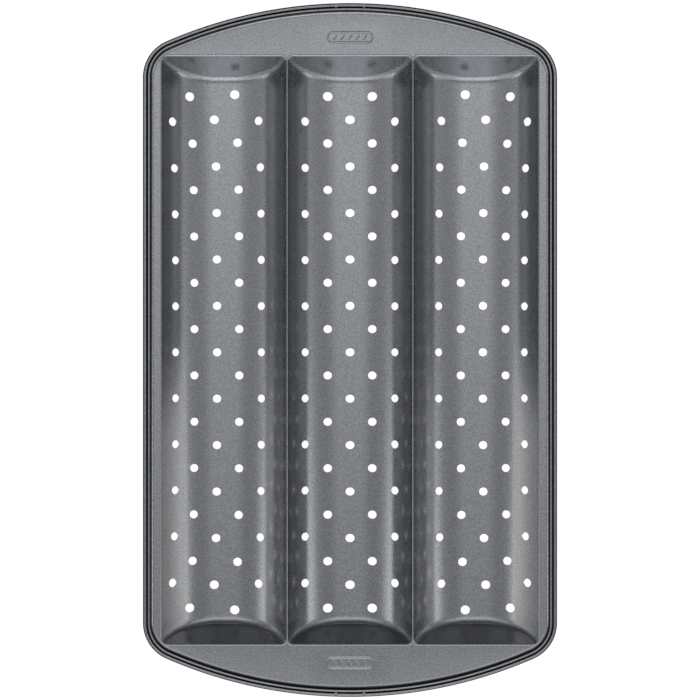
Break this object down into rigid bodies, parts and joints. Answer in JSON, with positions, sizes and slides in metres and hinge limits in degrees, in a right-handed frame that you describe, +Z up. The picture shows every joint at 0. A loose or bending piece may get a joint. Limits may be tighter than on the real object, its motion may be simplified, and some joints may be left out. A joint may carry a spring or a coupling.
{
  "type": "perforated baguette tray",
  "caption": "Perforated metal baguette baking tray with round-bottomed channels side by side, bowed end flanges and a raised rolled rim.",
  "frame": {"origin": "centre of the footprint at the underside of the channel lands, which rest on the table", "axes": "+X across the channels, +Y along the channels, +Z up, out of the open channels"},
  "size_m": [0.25, 0.4188, 0.0286],
  "materials": {
    "nonstick_steel": "satin non-stick coating with a fine metallic speckle",
    "wire_steel": "drawn steel wire"
  },
  "bodies": {
    "root": {"tray_sheet": "nonstick_steel", "rim_wire_left": "wire_steel", "rim_wire_right": "wire_steel"}
  },
  "joints": []
}
